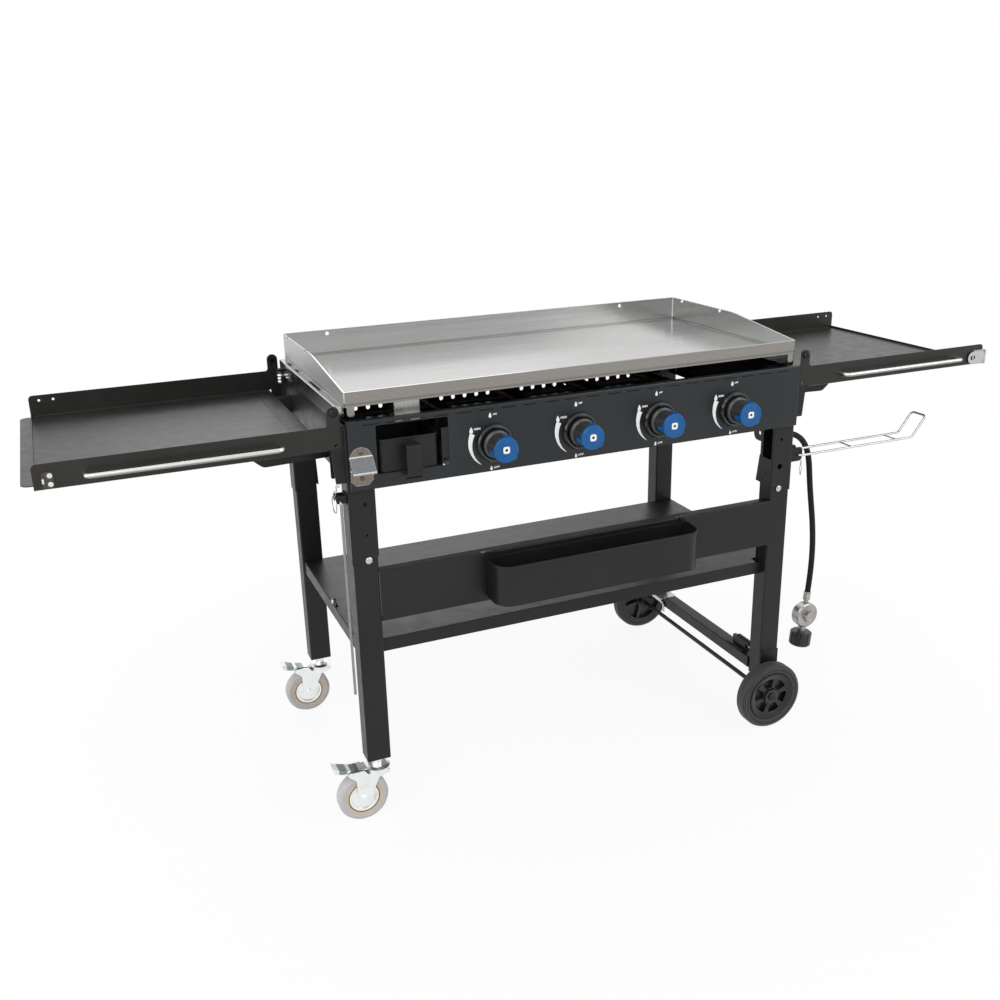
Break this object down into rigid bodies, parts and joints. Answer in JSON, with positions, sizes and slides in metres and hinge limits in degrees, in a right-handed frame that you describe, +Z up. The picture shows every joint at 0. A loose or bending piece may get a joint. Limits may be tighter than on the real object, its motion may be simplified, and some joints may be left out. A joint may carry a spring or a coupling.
{
  "type": "outdoor gas griddle station",
  "caption": "Outdoor gas griddle station with folding side shelves, control knobs, a lower shelf, a hanging bin and a gas hose.",
  "frame": {"origin": "on the floor under the centre of the griddle plate", "axes": "+X to the right of someone standing in front, +Y to the rear, +Z up; the control panel faces -Y"},
  "size_m": [1.9713, 0.6208, 0.881],
  "materials": {
    "black_paint": "satin",
    "zinc": "satin",
    "brass": "satin",
    "steel": "satin",
    "rolled_steel": "satin",
    "dark_steel": "satin",
    "chrome": "gloss",
    "black_wire": "satin",
    "bezel_plastic": "gloss",
    "black_plastic": "matte",
    "blue_plastic": "gloss",
    "tyre_grey": "matte",
    "tyre_black": "matte",
    "hose_rubber": "matte",
    "regulator_metal": "satin"
  },
  "bodies": {
    "station": {"front_panel": "black_paint", "rear_panel": "black_paint", "side_panels": "black_paint", "support_rails": "zinc", "leg_sleeves": "black_paint", "lower_legs": "black_paint", "cross_tube": "black_paint", "front_beam": "black_paint", "lower_shelf": "black_paint", "small_brackets": "black_paint", "manifold": "brass", "gas_valves": "brass", "burners": "steel", "knob_bezels": "bezel_plastic", "bottle_opener": "steel", "fasteners": "zinc", "hinge_posts": "black_paint", "support_arms": "black_paint", "axle": "dark_steel", "cup_holder": "black_paint", "gas_hose": "hose_rubber", "regulator": "regulator_metal"},
    "plate": {"griddle_plate": "rolled_steel", "grease_chute": "steel"},
    "cup": {"grease_cup": "black_paint"},
    "shelf_left": {"left_shelf": "black_paint", "left_handle": "chrome", "latch_catch": "zinc"},
    "shelf_right": {"right_shelf": "black_paint", "right_handle": "chrome", "hasp_base": "zinc"},
    "hasp": {"hasp_strap": "zinc"},
    "bin": {"condiment_bin": "black_paint"},
    "arm_right": {"towel_arm": "black_wire"},
    "rod_left": {"tool_rod": "black_wire"},
    "hand_nut": {"handwheel_nut": "black_plastic"},
    "spindle_1": {"valve_spindle_1": "brass"},
    "knob_1": {"knob_body_1": "black_plastic", "knob_cap_1": "blue_plastic"},
    "spindle_2": {"valve_spindle_2": "brass"},
    "knob_2": {"knob_body_2": "black_plastic", "knob_cap_2": "blue_plastic"},
    "spindle_3": {"valve_spindle_3": "brass"},
    "knob_3": {"knob_body_3": "black_plastic", "knob_cap_3": "blue_plastic"},
    "spindle_4": {"valve_spindle_4": "brass"},
    "knob_4": {"knob_body_4": "black_plastic", "knob_cap_4": "blue_plastic"},
    "caster_front": {"caster_fork_front": "zinc"},
    "caster_wheel_front": {"caster_tyre_front": "tyre_grey", "caster_hub_front": "zinc"},
    "pedal_front": {"caster_pedal_front": "black_paint"},
    "caster_rear": {"caster_fork_rear": "zinc"},
    "caster_wheel_rear": {"caster_tyre_rear": "tyre_grey", "caster_hub_rear": "zinc"},
    "pedal_rear": {"caster_pedal_rear": "black_paint"},
    "wheel_front": {"wheel_tyre_front": "tyre_black", "wheel_hub_front": "black_plastic"},
    "wheel_rear": {"wheel_tyre_rear": "tyre_black", "wheel_hub_rear": "black_plastic"}
  },
  "joints": [
    {"name": "left_shelf_fold", "type": "hinge", "parent": "station", "child": "shelf_left", "pos_m": [-0.492, 0, 0.824], "axis": [0, 1, 0], "range_deg": [0, 180]},
    {"name": "right_shelf_fold", "type": "hinge", "parent": "station", "child": "shelf_right", "pos_m": [0.492, 0, 0.824], "axis": [0, -1, 0], "range_deg": [0, 180]},
    {"name": "hasp_swing", "type": "hinge", "parent": "shelf_right", "child": "hasp", "pos_m": [0.977, -0.2433, 0.773], "axis": [0, 0, 1], "range_deg": [0, 180]},
    {"name": "plate_lift", "type": "slide", "parent": "station", "child": "plate", "axis": [0, 0, -1], "range_m": [-0.05, 0]},
    {"name": "cup_slide", "type": "slide", "parent": "station", "child": "cup", "axis": [0, -1, 0], "range_m": [0, 0.12]},
    {"name": "bin_lift", "type": "slide", "parent": "station", "child": "bin", "axis": [0, 0, 1], "range_m": [0, 0.06]},
    {"name": "towel_arm_swing", "type": "hinge", "parent": "station", "child": "arm_right", "pos_m": [0.495, -0.22, 0.611], "axis": [0, 1, 0], "range_deg": [0, 90]},
    {"name": "tool_rod_swing", "type": "hinge", "parent": "station", "child": "rod_left", "pos_m": [-0.4895, -0.22, 0.664], "axis": [0, 1, 0], "range_deg": [0, 90]},
    {"name": "nut_turn", "type": "hinge", "parent": "station", "child": "hand_nut", "pos_m": [0.59917, -0.16099, 0.12962], "axis": [-0.1029, -0.0086, -0.9947], "continuous": true},
    {"name": "knob_turn_1", "type": "hinge", "parent": "station", "child": "spindle_1", "pos_m": [-0.2011, -0.26, 0.736], "axis": [0, -1, 0], "range_deg": [0, 180]},
    {"name": "knob_push_1", "type": "slide", "parent": "spindle_1", "child": "knob_1", "axis": [0, 1, 0], "range_m": [0, 0.004], "stiffness_N_per_m": 1200, "springref_m": -0.002},
    {"name": "knob_turn_2", "type": "hinge", "parent": "station", "child": "spindle_2", "pos_m": [-0.0287, -0.26, 0.736], "axis": [0, -1, 0], "range_deg": [0, 180]},
    {"name": "knob_push_2", "type": "slide", "parent": "spindle_2", "child": "knob_2", "axis": [0, 1, 0], "range_m": [0, 0.004], "stiffness_N_per_m": 1200, "springref_m": -0.002},
    {"name": "knob_turn_3", "type": "hinge", "parent": "station", "child": "spindle_3", "pos_m": [0.1437, -0.26, 0.736], "axis": [0, -1, 0], "range_deg": [0, 180]},
    {"name": "knob_push_3", "type": "slide", "parent": "spindle_3", "child": "knob_3", "axis": [0, 1, 0], "range_m": [0, 0.004], "stiffness_N_per_m": 1200, "springref_m": -0.002},
    {"name": "knob_turn_4", "type": "hinge", "parent": "station", "child": "spindle_4", "pos_m": [0.3161, -0.26, 0.736], "axis": [0, -1, 0], "range_deg": [0, 180]},
    {"name": "knob_push_4", "type": "slide", "parent": "spindle_4", "child": "knob_4", "axis": [0, 1, 0], "range_m": [0, 0.004], "stiffness_N_per_m": 1200, "springref_m": -0.002},
    {"name": "caster_swivel_front", "type": "hinge", "parent": "station", "child": "caster_front", "pos_m": [-0.451, -0.218, 0.1], "axis": [0, 0, 1], "continuous": true},
    {"name": "caster_spin_front", "type": "hinge", "parent": "caster_front", "child": "caster_wheel_front", "pos_m": [-0.485, -0.218, 0.05], "axis": [0, 1, 0], "continuous": true},
    {"name": "pedal_press_front", "type": "hinge", "parent": "caster_front", "child": "pedal_front", "pos_m": [-0.495, -0.218, 0.107], "axis": [0, -1, 0], "range_deg": [0, 8]},
    {"name": "caster_swivel_rear", "type": "hinge", "parent": "station", "child": "caster_rear", "pos_m": [-0.451, 0.24, 0.1], "axis": [0, 0, 1], "continuous": true},
    {"name": "caster_spin_rear", "type": "hinge", "parent": "caster_rear", "child": "caster_wheel_rear", "pos_m": [-0.485, 0.24, 0.05], "axis": [0, 1, 0], "continuous": true},
    {"name": "pedal_press_rear", "type": "hinge", "parent": "caster_rear", "child": "pedal_rear", "pos_m": [-0.495, 0.24, 0.107], "axis": [0, -1, 0], "range_deg": [0, 8]},
    {"name": "wheel_spin_front", "type": "hinge", "parent": "station", "child": "wheel_front", "pos_m": [0.432, -0.269, 0.075], "axis": [0, 1, 0], "continuous": true},
    {"name": "wheel_spin_rear", "type": "hinge", "parent": "station", "child": "wheel_rear", "pos_m": [0.432, 0.291, 0.075], "axis": [0, 1, 0], "continuous": true}
  ]
}
